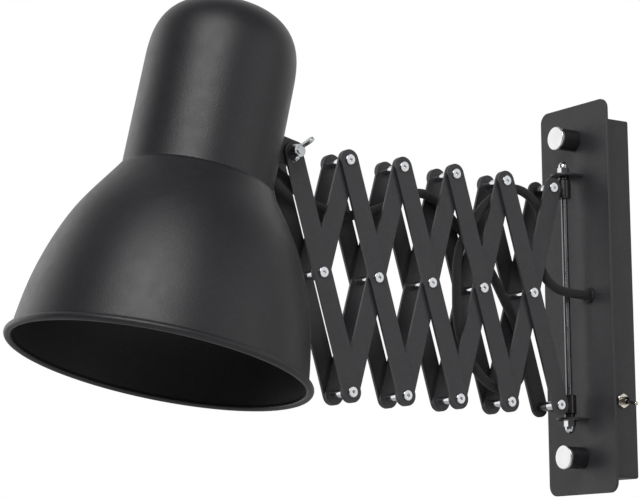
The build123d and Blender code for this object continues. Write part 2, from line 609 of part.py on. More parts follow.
def cord_points():
    """The cord's route from the back of the gland, woven up, down and up between the lattices."""
    return [
        (GLAND_X, GLAND_BACK, 0.0),
        (GLAND_X, -45.0, 0.0),
        (8.8, -60.3, 2.1),
        (6.0, -68.4, 7.0),
        (4.1, -74.3, 14.8),
        (3.3, -78.3, 28.6),
        (STRAND, -73.8, 45.7),
        (STRAND, -74.4, 59.9),
        (STRAND, -81.6, 71.3),
        (STRAND, -93.5, 77.7),
        (STRAND, -106.6, 77.5),
        (STRAND, -119.6, 70.1),
        (STRAND, -131.5, 60.5),
        (STRAND, -142.0, 47.0),
        (STRAND, -152.5, 33.0),
        (STRAND, -157.2, 15.0),
        (STRAND, -157.4, -4.0),
        (STRAND, -157.8, -23.0),
        (STRAND, -154.0, -42.0),
        (STRAND, -142.5, -60.5),
        (STRAND, -128.6, -72.0),
        (2.6, -113.3, -75.7),
        (0.0, -98.9, -70.4),
        (-2.6, -90.0, -57.9),
        (-STRAND, -89.6, -42.0),
        (-STRAND, -96.6, -21.5),
        (-STRAND, -108.2, -2.5),
        (-STRAND, -119.5, 16.5),
        (-STRAND, -134.5, 33.0),
        (-STRAND, -151.5, 47.0),
        (-STRAND, -166.4, 62.0),
        (-STRAND, -181.0, 67.9),
        (-2.6, -196.5, 64.6),
        (0.0, -212.5, 56.0),
        (0.0, -230.5, 48.0),
        (0.0, -251.0, 42.6),
        (0.0, -271.5, 44.0),
        (0.0, -288.0, 50.5),
        (0.0, -301.5, 60.0),
        at_head(63.5, -GROMMET_BELOW_PIVOT),
        at_head(40.8, -GROMMET_BELOW_PIVOT),
        at_head(HOLDER_CAP / 2 + CORD_END_GAP, -GROMMET_BELOW_PIVOT - 1.4),
    ]


def power_cord():
    """Round cord: straight runs joined by tangent arcs, each as large as its two runs allow."""
    points = [Vector(*p) for p in cord_points()]
    runs = [b - a for a, b in zip(points, points[1:])]
    radii = []
    for before, after in zip(runs, runs[1:]):
        half_turn = math.radians(before.get_angle(after)) / 2
        radii.append(0.45 * min(before.length, after.length) / math.tan(half_turn))
    path = FilletPolyline(*points, radius=radii)
    tube = sweep(Plane(origin=path @ 0, z_dir=path % 0) * Circle(CORD_DIAMETER / 2), path)
    expected = math.pi * CORD_DIAMETER**2 / 4 * path.length
    print(f"cord length {path.length:.1f}, volume ratio {tube.volume / expected:.4f}")
    print("cord radii", [round(r, 1) for r in radii])
    return tube


# ---------------------------------------------------------------- nodes

save("wall_strap", wall_strap())
save("wall_box", wall_box())
save("front_plate", front_plate())
save("terminal_block", terminal_block())
save("cord_gland", cord_gland())
save("switch_body", switch_body())
save("switch_nut", switch_nut())
save("switch_lever", switch_lever())
for name, height in zip(("upper", "lower"), STUD_HEIGHTS):
    save(f"knob_grip_{name}", knob_grip(height))
    save(f"knob_cap_{name}", knob_cap(height))

rod_low = LOWER_TAB - TAB_SHEET - ROD_THREAD_REACH
rod_high = UPPER_TAB + TAB_SHEET + ROD_THREAD_REACH
save("pivot_tabs", pivot_tab(UPPER_TAB, 1), pivot_tab(LOWER_TAB, -1))
save("pivot_rod", rod_z(ROD_DIAMETER, rod_low, rod_high, 0, ROD_Y))
save("rod_nuts", rod_nut(UPPER_TAB + TAB_SHEET, 1), rod_nut(LOWER_TAB - TAB_SHEET, -1))
save("rod_bushes", rod_bush(UPPER_TAB - BUSH_LENGTH), rod_bush(LOWER_TAB))
save("collar_upper", collar(TOP_LINE, INNER_BAR))
save("spacer_upper", collar_spacer(TOP_LINE, INNER_BAR))
save("pin_upper", rivet(*top_pin(BAYS), INNER_BAR + BAR_SHEET))
save("collar_lower", collar(BOTTOM_LINE, OUTER_BAR))
save("spacer_lower", collar_spacer(BOTTOM_LINE, OUTER_BAR))

for k in range(BAYS):
    for side_name, side in SIDES.items():
        outer = bar(outer_bar_pins(k), OUTER_BAR, PIN_HOLE if k else BOLT_HOLE)
        save(f"outer_bar_{k}_{side_name}", mirrored(outer, side))
        save(f"inner_bar_{k}_{side_name}", mirrored(bar(inner_bar_pins(k), INNER_BAR), side))
    riveted = outer_bar_pins(k) if k else outer_bar_pins(k)[1:]
    sleeved = riveted if k < BAYS - 1 else riveted[:-1]
    save(f"rivets_{k}", *[rivet(*pin, LATTICE_SIDE) for pin in riveted])
    save(f"sleeves_{k}", *[sleeve(*pin) for pin in sleeved])

save("shade", shade())
save("head_bracket", head_bracket())
save("head_bolt", head_bolt())
save("head_washers", head_washer(1), head_washer(-1))
save("wing_nut", wing_nut())
save("neck_grommet", neck_grommet())
save("lampholder", lampholder())
save("holder_bridge", holder_bridge())
save("power_cord", power_cord())
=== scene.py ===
import math
import bmesh
import bpy
import numpy as np
from mathutils import Matrix, Vector


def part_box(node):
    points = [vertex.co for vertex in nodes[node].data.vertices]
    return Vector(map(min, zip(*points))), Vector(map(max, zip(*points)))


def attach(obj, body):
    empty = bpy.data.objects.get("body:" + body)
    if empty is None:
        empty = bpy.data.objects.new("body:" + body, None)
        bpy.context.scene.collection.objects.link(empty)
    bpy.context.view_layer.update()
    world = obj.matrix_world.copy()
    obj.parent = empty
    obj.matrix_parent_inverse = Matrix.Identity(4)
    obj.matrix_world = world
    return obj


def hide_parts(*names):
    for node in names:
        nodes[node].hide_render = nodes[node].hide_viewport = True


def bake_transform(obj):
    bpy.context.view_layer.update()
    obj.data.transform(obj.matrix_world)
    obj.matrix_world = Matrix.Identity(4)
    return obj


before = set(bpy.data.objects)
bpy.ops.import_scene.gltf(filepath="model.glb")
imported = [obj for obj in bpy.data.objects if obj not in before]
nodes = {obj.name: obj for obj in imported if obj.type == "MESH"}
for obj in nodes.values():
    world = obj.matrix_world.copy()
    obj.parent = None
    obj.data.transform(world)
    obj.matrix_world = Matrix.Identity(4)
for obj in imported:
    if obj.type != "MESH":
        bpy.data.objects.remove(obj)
scene = bpy.context.scene
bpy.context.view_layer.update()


# ---- Wall strap ----
# A flat steel strap with two welded M6 studs, screwed to the wall through its slots. It is cut from
# cold-rolled sheet and zinc plated, which leaves it bright, a little blue and faintly mottled.
def linear(colour):
    """Linear RGBA of an sRGB hex colour, by the sRGB curve."""
    parts = np.array([int(colour[i:i + 2], 16) for i in (1, 3, 5)]) / 255
    parts = np.where(parts <= 0.04045, parts / 12.92, ((parts + 0.055) / 1.055) ** 2.4)
    return (*parts.tolist(), 1.0)


def add(material, kind, settings=None, links=None):
    """A node with its properties set and each input given a value or another node's output."""
    node = material.node_tree.nodes.new(kind)
    for name, value in (settings or {}).items():
        setattr(node, name, value)
    for name, value in (links or {}).items():
        if isinstance(value, bpy.types.NodeSocket):
            material.node_tree.links.new(value, node.inputs[name])
        else:
            node.inputs[name].default_value = value
    return node


def per_metre(millimetres):
    """Noise scale, in cells to the metre, whose cells are this many millimetres across."""
    return 1000 / millimetres


def new_material(name):
    """An empty node material, and where its patterns sit: the object's own coordinates."""
    material = bpy.data.materials.new(name)
    material.use_nodes = True
    material.node_tree.nodes.clear()
    place = add(material, "ShaderNodeTexCoord").outputs["Object"]
    return material, place


NOISE_LOW, NOISE_HIGH = 0.3, 0.7  # nearly all of Blender's noise falls between these


def speckle(material, place, millimetres, low, high, detail=3.0):
    """Noise of one grain size, spread from low to high as a plain number."""
    noise = add(material, "ShaderNodeTexNoise", {"noise_dimensions": "3D"}, {
        "Vector": place, "Scale": per_metre(millimetres), "Detail": detail, "Roughness": 0.55})
    spread = add(material, "ShaderNodeMapRange", {"clamp": True}, {
        "Value": noise.outputs["Fac"], "From Min": NOISE_LOW, "From Max": NOISE_HIGH,
        "To Min": low, "To Max": high})
    return spread.outputs["Result"]


def two_tone(material, factor, first, second):
    """A colour between two hex colours."""
    mix = add(material, "ShaderNodeMix", {"data_type": "RGBA"},
              {0: factor, 6: linear(first), 7: linear(second)})
    return mix.outputs[2]


def surface(material, links, height=None, depth=0.0, strength=1.0):
    """Principled surface to the output, with bumps of the height pattern, depth in metres."""
    if height is not None:
        bump = add(material, "ShaderNodeBump", None,
                   {"Height": height, "Distance": depth, "Strength": strength})
        links["Normal"] = bump.outputs["Normal"]
    shader = add(material, "ShaderNodeBsdfPrincipled", None, links)
    add(material, "ShaderNodeOutputMaterial", None, {"Surface": shader.outputs["BSDF"]})
    return material


def finish_nodes(material, *names):
    """Gives CAD nodes their real finish."""
    for name in names:
        slots = nodes[name].data.materials
        slots.clear()
        slots.append(material)


def zinc_plate():
    """Zinc plate over steel: metal, softly mottled at 6 mm, with a fine drawn grain of 0.5 mm."""
    material, place = new_material("bright_zinc_plate")
    mottle = speckle(material, place, 6.0, 0.0, 1.0)
    return surface(material, {
        "Base Color": two_tone(material, mottle, "#B4B7BA", "#CDD0D2"),
        "Metallic": 1.0,
        "Roughness": speckle(material, place, 2.5, 0.24, 0.36),
    }, speckle(material, place, 0.5, 0.0, 1.0), 0.00002, 0.3)


zinc = zinc_plate()
finish_nodes(zinc, "wall_strap", "holder_bridge")


# ---- Wall box and front plate ----
# Folded 1.5 mm steel tray behind a flat 2 mm cover with rounded corners. Both are powder coated
# satin black: a soft sheen, an orange-peel surface and a very fine grain, with no grain direction.
def powder_coat(name, dark, light, rough_low, rough_high):
    """Fine-texture powder coat: 1.4 mm grain, coarser than the real 0.3 mm so that it shows, on
    soft 9 mm waves of sheen. The colour is darker in the grain's pits: painted shade."""
    material, place = new_material(name)
    grain_and_pit_shade = speckle(material, place, 1.4, 0.0, 1.0, 4.0)
    return surface(material, {
        # Painted shade: the colour is darker where the grain is low, in its pits.
        "Base Color": two_tone(material, grain_and_pit_shade, dark, light),
        "Roughness": speckle(material, place, 9.0, rough_low, rough_high),
        "IOR": 1.5,
    }, grain_and_pit_shade, 0.00012, 0.35)


box_coat = powder_coat("satin_black_powder_coat", "#2B292C", "#363437", 0.42, 0.5)
finish_nodes(box_coat, "wall_box", "front_plate", "pivot_tabs")


# ---- Terminal block ----
# Three-way screw connector inside the box, moulded in natural nylon, which is milky and waxy.
# A brass screw sits at the bottom of each well.
def plastic(name, first, second, rough, millimetres=3.0, depth=0.00004):
    """Moulded plastic: even colour, spark-eroded mould texture of 0.8 mm."""
    material, place = new_material(name)
    tone = speckle(material, place, millimetres, 0.0, 1.0)
    return surface(material, {
        "Base Color": two_tone(material, tone, first, second),
        "Roughness": rough,
        "IOR": 1.49,
    }, speckle(material, place, 0.8, 0.0, 1.0), depth, 0.4)


nylon = plastic("natural_nylon", "#DDD8CA", "#E8E4D8", 0.42)
finish_nodes(nylon, "terminal_block")


def quads_of(index):
    """Quads between neighbours in a grid of point numbers."""
    corners = [index[:-1, :-1], index[:-1, 1:], index[1:, 1:], index[1:, :-1]]
    return np.stack(corners, -1).reshape(-1, 4).tolist()


def skin(name, grid, material, closed=True, crease=40.0):
    """Mesh of a grid of points: neighbours join as quads, closed rows end where they start,
    points that fall together are merged, and edges sharper than crease degrees stay sharp."""
    rows, columns = grid.shape[:2]
    index = np.arange(rows * columns).reshape(rows, columns)
    if closed:
        index = np.hstack([index, index[:, :1]])
    mesh = bpy.data.meshes.new(name)
    mesh.from_pydata(grid.reshape(-1, 3).tolist(), [], quads_of(index))
    work = bmesh.new()
    work.from_mesh(mesh)
    bmesh.ops.remove_doubles(work, verts=work.verts, dist=1e-6)
    bmesh.ops.recalc_face_normals(work, faces=work.faces)
    work.to_mesh(mesh)
    work.free()
    mesh.shade_smooth()
    mesh.set_sharp_from_angle(angle=math.radians(crease))
    piece = bpy.data.objects.new(name, mesh)
    piece.data.materials.append(material)
    scene.collection.objects.link(piece)
    return piece


def turned(profile, origin, axis, across, steps=48):
    """Surface of revolution: each (radius, height) of the profile, in millimetres, goes round it:
    origin + height * axis + radius * (cos t * across + sin t * (axis x across))."""
    axis, across = np.array(axis, float), np.array(across, float)
    other = np.cross(axis, across)
    turn = np.linspace(0, 2 * math.pi, steps, endpoint=False)
    ring = np.cos(turn)[:, None] * across + np.sin(turn)[:, None] * other
    profile = np.array(profile, float) / 1000
    return np.array(origin) + profile[:, None, 1:2] * axis + profile[:, None, 0:1] * ring


def yellow_brass():
    """Turned brass: warm metal, a little dulled."""
    material, place = new_material("turned_brass")
    return surface(material, {
        "Base Color": two_tone(
            material, speckle(material, place, 2.0, 0.0, 1.0), "#C9A45A", "#DDBB74"),
        "Metallic": 1.0,
        "Roughness": 0.3,
    }, speckle(material, place, 0.6, 0.0, 1.0), 0.00001, 0.4)


brass = yellow_brass()
block_low, block_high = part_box("terminal_block")
WAYS = 3
SCREW_FROM_MIDDLE = 0.00425
WELL_DEPTH = 0.0055
SCREW_RADIUS, SLOT_RADIUS = 1.5, 0.5
SCREW_FOOT, SLOT_FLOOR, SHOULDER, SCREW_TOP = 0.05, 0.6, 0.8, 1.1
screw_profile = [(0, SLOT_FLOOR), (SLOT_RADIUS, SLOT_FLOOR), (SLOT_RADIUS, SCREW_TOP),
                 (1.2, SCREW_TOP), (SCREW_RADIUS, SHOULDER), (SCREW_RADIUS, SCREW_FOOT),
                 (0, SCREW_FOOT)]
screw_grids = []
for way in range(WAYS):
    height = block_low.z + (block_high.z - block_low.z) * (way + 0.5) / WAYS
    for x in (-SCREW_FROM_MIDDLE, SCREW_FROM_MIDDLE):
        seat = (x, block_high.y - WELL_DEPTH, height)
        screw_grids.append(turned(screw_profile, seat, (0, 1, 0), (1, 0, 0), 20))
for number, grid in enumerate(screw_grids):
    screw = skin(f"terminal_screw_{number}", grid, brass)
    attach(screw, "wall_unit")


# ---- Toggle switch ----
# A black phenolic case behind the box side, a threaded bush, a hexagon nut and a bat-shaped lever.
# Nut, bush and lever are nickel plated brass: a warm, bright, softly worn metal.
def plated(name, first, second, low, high):
    """Bright plating over turned metal: 2 mm mottle in the shine and a 0.4 mm grain."""
    material, place = new_material(name)
    return surface(material, {
        "Base Color": two_tone(material, speckle(material, place, 3.0, 0.0, 1.0), first, second),
        "Metallic": 1.0,
        "Roughness": speckle(material, place, 2.0, low, high),
    }, speckle(material, place, 0.4, 0.0, 1.0), 0.000012, 0.35)


nickel = plated("nickel_plate", "#C8C2B6", "#DAD5CA", 0.16, 0.28)
phenolic = plastic("black_phenolic", "#1C1B1C", "#262526", 0.38)
finish_nodes(nickel, "switch_nut", "switch_lever")
finish_nodes(phenolic, "switch_body")

nut_low, nut_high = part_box("switch_nut")
bush_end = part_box("switch_body")[1].x
THREAD_PITCH = 0.5
CREST, ROOT, BUSH_BORE = 3.02, 2.96, 2.4
turns = int((bush_end - nut_high.x) * 1000 / THREAD_PITCH)
ridges = [(CREST if step % 2 else ROOT, step * THREAD_PITCH / 2) for step in range(2 * turns + 1)]
ridges = [(BUSH_BORE, 0.0)] + ridges + [(BUSH_BORE, ridges[-1][1])]
bush_start = (nut_high.x, (nut_low.y + nut_high.y) / 2, (nut_low.z + nut_high.z) / 2)
bush_thread = skin("switch_bush_thread", turned(ridges, bush_start, (1, 0, 0), (0, 1, 0)), nickel,
                   crease=25.0)
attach(bush_thread, "wall_unit")


# ---- Knobs ----
# Two knobs hold the cover to the studs. Each has a smooth turned black grip with a soft gloss and a
# thin aluminium disc on its face, polished and clear anodised so that it looks almost white.
def anodised_disc():
    """Polished, clear anodised aluminium: pale metal with a faint grain of 0.5 mm."""
    material, place = new_material("clear_anodised_aluminium")
    return surface(material, {
        "Base Color": two_tone(
            material, speckle(material, place, 8.0, 0.0, 1.0), "#E6E4E6", "#F0EFF0"),
        "Metallic": 1.0,
        "Roughness": speckle(material, place, 4.0, 0.2, 0.27),
    }, speckle(material, place, 0.5, 0.0, 1.0), 0.00001, 0.3)


disc = anodised_disc()
grip_black = plastic("gloss_black_lacquer", "#201F21", "#29282A", 0.3, 5.0, 0.00002)
finish_nodes(grip_black, "knob_grip_upper", "knob_grip_lower")
finish_nodes(disc, "knob_cap_upper", "knob_cap_lower")


# ---- Cord gland ----
# A low bush moulded in black polyamide, pressed into the cover. It has a matt spark-eroded skin
# and a rounded flange that the cord comes straight out of.
polyamide = plastic("black_polyamide", "#1D1C1E", "#272628", 0.5)
finish_nodes(polyamide, "cord_gland", "neck_grommet")


# ---- Upright rod, acorn nuts and bushes ----
# The arm swings on a drawn 5 mm steel rod between two tabs of the cover, closed above and below by
# chrome plated M5 acorn nuts. Short black bushes keep the collars off the tabs.
def drawn_steel():
    """Drawn bright steel: draw marks along the rod, 0.7 mm wide and 25 times as long, with painted
    shade that makes the colour darker in their valleys."""
    material, place = new_material("drawn_bright_steel")
    stretched = add(material, "ShaderNodeMapping", None, {
        "Vector": place, "Scale": (1.0, 1.0, 1 / 25)})
    lines_and_valley_shade = speckle(material, stretched.outputs["Vector"], 0.7, 0.0, 1.0)
    return surface(material, {
        # Painted shade: the colour is darker in the valleys of the draw marks.
        "Base Color": two_tone(material, lines_and_valley_shade, "#6E6C70", "#8B898D"),
        "Metallic": 1.0,
        "Roughness": speckle(material, place, 6.0, 0.26, 0.36),
    }, lines_and_valley_shade, 0.00001, 0.4)


chrome = plated("bright_chrome_plate", "#D3D5D8", "#E3E5E7", 0.1, 0.2)
finish_nodes(drawn_steel(), "pivot_rod")
finish_nodes(chrome, "rod_nuts")


# ---- Collars on the rod ----
# Turned collars that slide and swing on the rod, each with a lug and a cross barrel for its pin.
# They are dipped in gloss black enamel, which is smooth and mirrors the room.
def gloss_enamel():
    """Stoved gloss enamel: near black under a clear hard gloss with 5 mm flow waves."""
    material, place = new_material("gloss_black_enamel")
    return surface(material, {
        "Base Color": two_tone(
            material, speckle(material, place, 4.0, 0.0, 1.0), "#19181A", "#222123"),
        "Roughness": speckle(material, place, 3.0, 0.2, 0.3),
        "IOR": 1.52,
        "Coat Weight": 0.5,
        "Coat Roughness": 0.1,
    }, speckle(material, place, 5.0, 0.0, 1.0), 0.00003, 0.3)


enamel = gloss_enamel()
finish_nodes(enamel, "collar_upper", "collar_lower", "rod_bushes")
finish_nodes(chrome, "pin_upper", "spacer_upper", "spacer_lower")


# ---- Lattice bars ----
# Twenty flat bars with round ends, blanked from 2 mm steel strip, in two lattices that mirror each
# other. They carry the same satin black coat as the box, a shade smoother where the bars rub.
bar_coat = powder_coat("satin_black_bar_coat", "#2D2B2E", "#373538", 0.4, 0.48)
finish_nodes(bar_coat, *[name for name in nodes if name.startswith(("inner_bar", "outer_bar"))])


# ---- Rivets and sleeves ----
# Hollow-ended steel rivets hold the bars at every crossing, and plain tubes between the two
# lattices keep them apart. Both are chrome plated and catch the light as small bright dots.
finish_nodes(chrome, *[name for name in nodes if name.startswith(("rivets", "sleeves"))])


# ---- Shade ----
# A bell spun from 1.2 mm sheet steel, with a straight neck, a domed top and its rim rolled
# outwards round a wire. It is powder coated satin black inside and out, with a fine orange peel.
LEAN = math.radians(13.2)
UP = np.array((0.0, math.sin(LEAN), math.cos(LEAN)))  # along the shade's axis
OUT = np.array((0.0, math.cos(LEAN), -math.sin(LEAN)))  # from the axis towards the wall
HEAD_PIVOT = np.array((0.0, -0.30745, 0.081))
PIVOT_FROM_AXIS = 0.064
PIVOT_ABOVE_RIM = 0.175
RIM_CENTRE = HEAD_PIVOT - PIVOT_FROM_AXIS * OUT - PIVOT_ABOVE_RIM * UP
SHEET = 1.2
RIM_RADIUS = 105.2
BEAD_RADIUS = 2.65
BELL_FOOT = [(101.3, BEAD_RADIUS), (100.9, 6.57), (94.2, 48.1), (79.7, 89.7)]
WAIST_RADIUS = 54.2
BELL_TOP = 131.4
NECK_RADIUS = 52.5
NECK_TOP = 210.3
DOME_HEIGHT = 51.7
DOME_POWER = 2 / 2.9  # of a superellipse a little squarer than a circle


def curve_through(points, samples):
    """Points along the smooth curve through the given ones: each span is a Catmull-Rom cubic in the
    distance along the chords."""
    points = np.array(points, float)
    chords = np.r_[0, np.cumsum(np.linalg.norm(np.diff(points, axis=0), axis=1))]
    slopes = np.gradient(points, chords, axis=0)
    where = np.linspace(0, chords[-1], samples)
    span = np.clip(np.searchsorted(chords, where, "right") - 1, 0, len(chords) - 2)
    width = (chords[span + 1] - chords[span])[:, None]
    t = (where - chords[span])[:, None] / width
    ease = 3 * t**2 - 2 * t**3
    into = (t**3 - 2 * t**2 + t) * width * slopes[span]
    out = (t**3 - t**2) * width * slopes[span + 1]
    return points[span] * (1 - ease) + points[span + 1] * ease + into + out


def shade_wall(inset, samples):
    """Half section from the rim to the top, in millimetres, moved in by inset: bell, step and neck,
    then a dome whose points follow (cos t, sin t), each raised to DOME_POWER."""
    bell_top = BELL_TOP - inset
    foot = [(radius - inset, height) for radius, height in BELL_FOOT]
    bell = curve_through(foot + [(WAIST_RADIUS - inset, bell_top)], samples)
    neck = NECK_RADIUS - inset
    step = [(neck + 1.1, bell_top + 0.15), (neck + 0.3, bell_top + 0.5), (neck, bell_top + 1.3)]
    straight = [(neck, height) for height in np.linspace(BELL_TOP + 2.6, NECK_TOP - 1.3, 12)]
    t = np.linspace(0, math.pi / 2, samples // 2)
    rise = DOME_HEIGHT - inset
    dome = np.c_[neck * np.cos(t) ** DOME_POWER, NECK_TOP + rise * np.sin(t) ** DOME_POWER]
    return np.vstack([bell, step, straight, dome])


def bead(radius, start, stop, samples):
    """Arc of the rolled rim about its wire, from one angle to another, in degrees."""
    t = np.radians(np.linspace(start, stop, samples))
    return np.c_[RIM_RADIUS - radius + radius * np.cos(t), radius + radius * np.sin(t)]


outside = shade_wall(0.0, 72)
inside = shade_wall(SHEET, 72)
rim = bead(BEAD_RADIUS, -172, 150, 26)
shade_profile = np.vstack([inside[::-1], rim, outside[1:]])
shade_profile[:, 0] = np.maximum(shade_profile[:, 0], 0)
shade_profile[[0, -1], 0] = 0
shade_coat = powder_coat("satin_black_shade_coat", "#1D1B1E", "#262428", 0.4, 0.46)
shade = skin("spun_shade", turned(shade_profile, RIM_CENTRE, UP, OUT, 192), shade_coat, crease=60.0)
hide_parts("shade")
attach(shade, "head")


# ---- Head bracket, bolt and wing nut ----
# A bent steel bracket welded to the neck carries the head between two ears. An M5 bolt with zinc
# plated washers goes across, and a pressed zinc wing nut clamps the tilt.
finish_nodes(box_coat, "head_bracket")
finish_nodes(zinc, "head_bolt", "head_washers", "wing_nut")


# ---- Lampholder ----
# A lampholder moulded in black phenolic hangs in the neck, with a screw shell of brass sheet rolled
# to the lamp's round thread, and a sprung contact at its bottom.
finish_nodes(phenolic, "lampholder")
MOUTH_BELOW_PIVOT = 0.049
HOLDER_MOUTH = HEAD_PIVOT - PIVOT_FROM_AXIS * OUT - MOUTH_BELOW_PIVOT * UP
SHELL_PITCH = 3.62
SHELL_START, SHELL_END = 3.0, 25.0
SHELL_RADIUS, THREAD_DEPTH = 13.15, 0.42
shell_height = np.linspace(SHELL_START, SHELL_END, 90)[:, None]
shell_turn = np.linspace(0, 2 * math.pi, 48, endpoint=False)[None, :]
shell_wave = np.cos(2 * math.pi * shell_height / SHELL_PITCH - shell_turn)
shell_radius = SHELL_RADIUS + THREAD_DEPTH * shell_wave
spin = np.cos(shell_turn)[..., None] * OUT + np.sin(shell_turn)[..., None] * np.cross(UP, OUT)
shell_grid = HOLDER_MOUTH + (shell_height[..., None] * UP + shell_radius[..., None] * spin) / 1000
screw_shell = skin("lamp_screw_shell", shell_grid, brass)
thickness = screw_shell.modifiers.new("sheet", "SOLIDIFY")
thickness.thickness = 0.00025
thickness.offset = 0
contact_profile = [(0, 24.0), (2.2, 24.2), (3.4, 25.2), (3.6, 26.9), (0, 26.9)]
contact = skin("lamp_contact", turned(contact_profile, HOLDER_MOUTH, UP, OUT, 32), brass)
for piece in (screw_shell, contact):
    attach(piece, "head")


# ---- Power cord ----
# A round 7 mm flex in a black braided textile cover. It leaves the gland, weaves up, down and up
# again between the two lattices and enters the neck, held by the arm all the way.
def braid():
    """Sixteen-carrier braid: yarns cross at 45 degrees, 1.4 mm wide, over and under each other.
    U goes round the cord and V along it, both in yarn widths, so u + v and u - v number them."""
    material, place = new_material("braided_black_textile")
    own = add(material, "ShaderNodeUVMap", {"uv_map": "yarns"}).outputs["UV"]
    apart = add(material, "ShaderNodeSeparateXYZ", None, {"Vector": own})
    around, along = apart.outputs["X"], apart.outputs["Y"]
    right, left = (
        add(material, "ShaderNodeMath", {"operation": sign}, {0: around, 1: along}).outputs[0]
        for sign in ("ADD", "SUBTRACT"))
    ridges = []
    for number in (right, left):
        turn = add(material, "ShaderNodeMath", {"operation": "MULTIPLY"}, {0: number, 1: math.pi})
        wave = add(material, "ShaderNodeMath", {"operation": "SINE"}, {0: turn.outputs[0]})
        ridge = add(material, "ShaderNodeMath", {"operation": "ABSOLUTE"}, {0: wave.outputs[0]})
        ridges.append(ridge.outputs[0])
    cell = add(material, "ShaderNodeCombineXYZ", None, {"X": right, "Y": left, "Z": 0.5})
    over = add(material, "ShaderNodeTexChecker", None, {
        "Vector": cell.outputs["Vector"], "Scale": 1.0})
    weave_and_gap_shade = add(material, "ShaderNodeMix", {"data_type": "FLOAT"},
                {0: over.outputs["Fac"], 2: ridges[0], 3: ridges[1]}).outputs[0]
    fuzz = speckle(material, place, 0.5, 0.0, 1.0)
    height = add(material, "ShaderNodeMath", {"operation": "MULTIPLY_ADD"},
                 {0: fuzz, 1: 0.25, 2: weave_and_gap_shade}).outputs[0]
    return surface(material, {
        # Painted shade: the colour follows the weave, lighter on each yarn's crown and darker in
        # the gaps between yarns.
        "Base Color": two_tone(material, weave_and_gap_shade, "#0A090B", "#1D1B1E"),
        "Roughness": 0.72,
        "Sheen Weight": 0.1,
        "Sheen Roughness": 0.5,
    }, height, 0.0004, 0.8)


def at_head(out, up):
    """The point that far out from the shade's axis and above the head pivot, in millimetres."""
    return tuple((HEAD_PIVOT * 1000 + (out - PIVOT_FROM_AXIS * 1000) * OUT + up * UP).tolist())


STRAND = 3.9  # each strand's middle lies this far to one side, so the two pass each other
route = [
    (13.0, -29.5, 0.0), (13.0, -45.0, 0.0), (8.8, -60.3, 2.1), (6.0, -68.4, 7.0),
    (4.1, -74.3, 14.8), (3.3, -78.3, 28.6), (STRAND, -73.8, 45.7), (STRAND, -74.4, 59.9),
    (STRAND, -81.6, 71.3), (STRAND, -93.5, 77.7), (STRAND, -106.6, 77.5), (STRAND, -119.6, 70.1),
    (STRAND, -131.5, 60.5), (STRAND, -142.0, 47.0), (STRAND, -152.5, 33.0),
    (STRAND, -157.2, 15.0), (STRAND, -157.4, -4.0), (STRAND, -157.8, -23.0),
    (STRAND, -154.0, -42.0), (STRAND, -142.5, -60.5), (STRAND, -128.6, -72.0),
    (2.6, -113.3, -75.7), (0.0, -98.9, -70.4), (-2.6, -90.0, -57.9), (-STRAND, -89.6, -42.0),
    (-STRAND, -96.6, -21.5), (-STRAND, -108.2, -2.5), (-STRAND, -119.5, 16.5),
    (-STRAND, -134.5, 33.0), (-STRAND, -151.5, 47.0), (-STRAND, -166.4, 62.0),
    (-STRAND, -181.0, 67.9), (-2.6, -196.5, 64.6), (0.0, -212.5, 56.0), (0.0, -230.5, 48.0),
    (0.0, -251.0, 42.6), (0.0, -271.5, 44.0), (0.0, -288.0, 50.5), (0.0, -301.5, 60.0),
    at_head(63.5, -13), at_head(40.8, -13), at_head(18.5, -14.4),
]
line = bpy.data.curves.new("cord_line", "CURVE")
line.dimensions = "3D"
line.resolution_u = 24
spline = line.splines.new("NURBS")
spline.points.add(len(route) - 1)
for point, place in zip(spline.points, route):
    point.co = (*[value / 1000 for value in place], 1.0)
spline.order_u = 3
spline.use_endpoint_u = True
line_object = bpy.data.objects.new("cord_line", line)
scene.collection.objects.link(line_object)
bpy.context.view_layer.update()
traced = bpy.data.meshes.new_from_object(line_object)
path = np.array([v.co for v in traced.vertices])
bpy.data.objects.remove(line_object)
RING_STEP = 0.0011
run = np.r_[0, np.cumsum(np.linalg.norm(np.diff(path, axis=0), axis=1))]
rings = int(run[-1] / RING_STEP) + 1
where = np.linspace(0, run[-1], rings)
path = np.stack([np.interp(where, run, path[:, axis]) for axis in range(3)], 1)
tangent = np.gradient(path, axis=0)
tangent /= np.linalg.norm(tangent, axis=1)[:, None]
beside = np.cross(tangent, (1.0, 0.0, 0.0))
beside /= np.linalg.norm(beside, axis=1)[:, None]
above = np.cross(beside, tangent)
CORD_RADIUS = 0.0035
CORD_SIDES = 24
YARNS_ROUND = 16
angle = np.linspace(0, 2 * math.pi, CORD_SIDES + 1)
cosine, sine = np.cos(angle)[None, :, None], np.sin(angle)[None, :, None]
tube = path[:, None] + CORD_RADIUS * (cosine * beside[:, None] + sine * above[:, None])
yarn_width = 2 * math.pi * CORD_RADIUS / YARNS_ROUND
cord_cover = braid()


